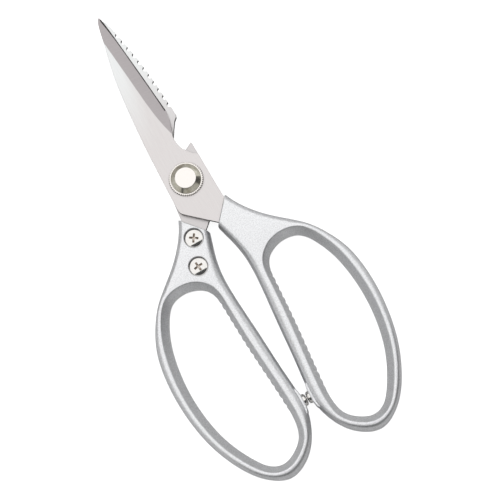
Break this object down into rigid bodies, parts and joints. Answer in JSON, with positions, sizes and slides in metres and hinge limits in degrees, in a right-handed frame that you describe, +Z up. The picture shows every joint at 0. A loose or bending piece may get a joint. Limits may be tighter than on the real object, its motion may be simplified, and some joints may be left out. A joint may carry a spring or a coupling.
{
  "type": "poultry shears",
  "caption": "All-metal poultry shears: bevelled blades on a pivot bolt, scaler teeth and bottle-opener notch on the rear blade, screwed cast finger-loop handles, stop studs.",
  "frame": {"origin": "on the pivot axis, at the underside of the pivot nut, which is the plane the shears lie on", "axes": "+Y from the pivot to the blade tips, +Z up along the pivot axis to the bolt head, +X to the right handle"},
  "size_m": [0.0956, 0.2117, 0.0114],
  "materials": {
    "blade_steel": "satin ground faces, finely brushed bevel",
    "cast_handle": "cast, satin silver with a fine metallic grain",
    "screw_nickel": "bright nickel plate",
    "pivot_steel": "polished, finely turned flat"
  },
  "bodies": {
    "rear_half": {"rear_blade": "blade_steel", "left_handle": "cast_handle", "left_upper_screw": "screw_nickel", "left_lower_screw": "screw_nickel", "left_stop_stud": "screw_nickel", "pivot_bolt": "pivot_steel", "knurled_washer": "pivot_steel", "plain_washer": "pivot_steel", "pivot_nut": "pivot_steel"},
    "front_half": {"front_blade": "blade_steel", "right_handle": "cast_handle", "right_upper_screw": "screw_nickel", "right_lower_screw": "screw_nickel", "right_stop_stud": "screw_nickel"}
  },
  "joints": [
    {"name": "blade_pivot", "type": "hinge", "parent": "rear_half", "child": "front_half", "pos_m": [0, 0, 0.0055], "axis": [0, 0, 1], "range_deg": [0, 60]}
  ]
}
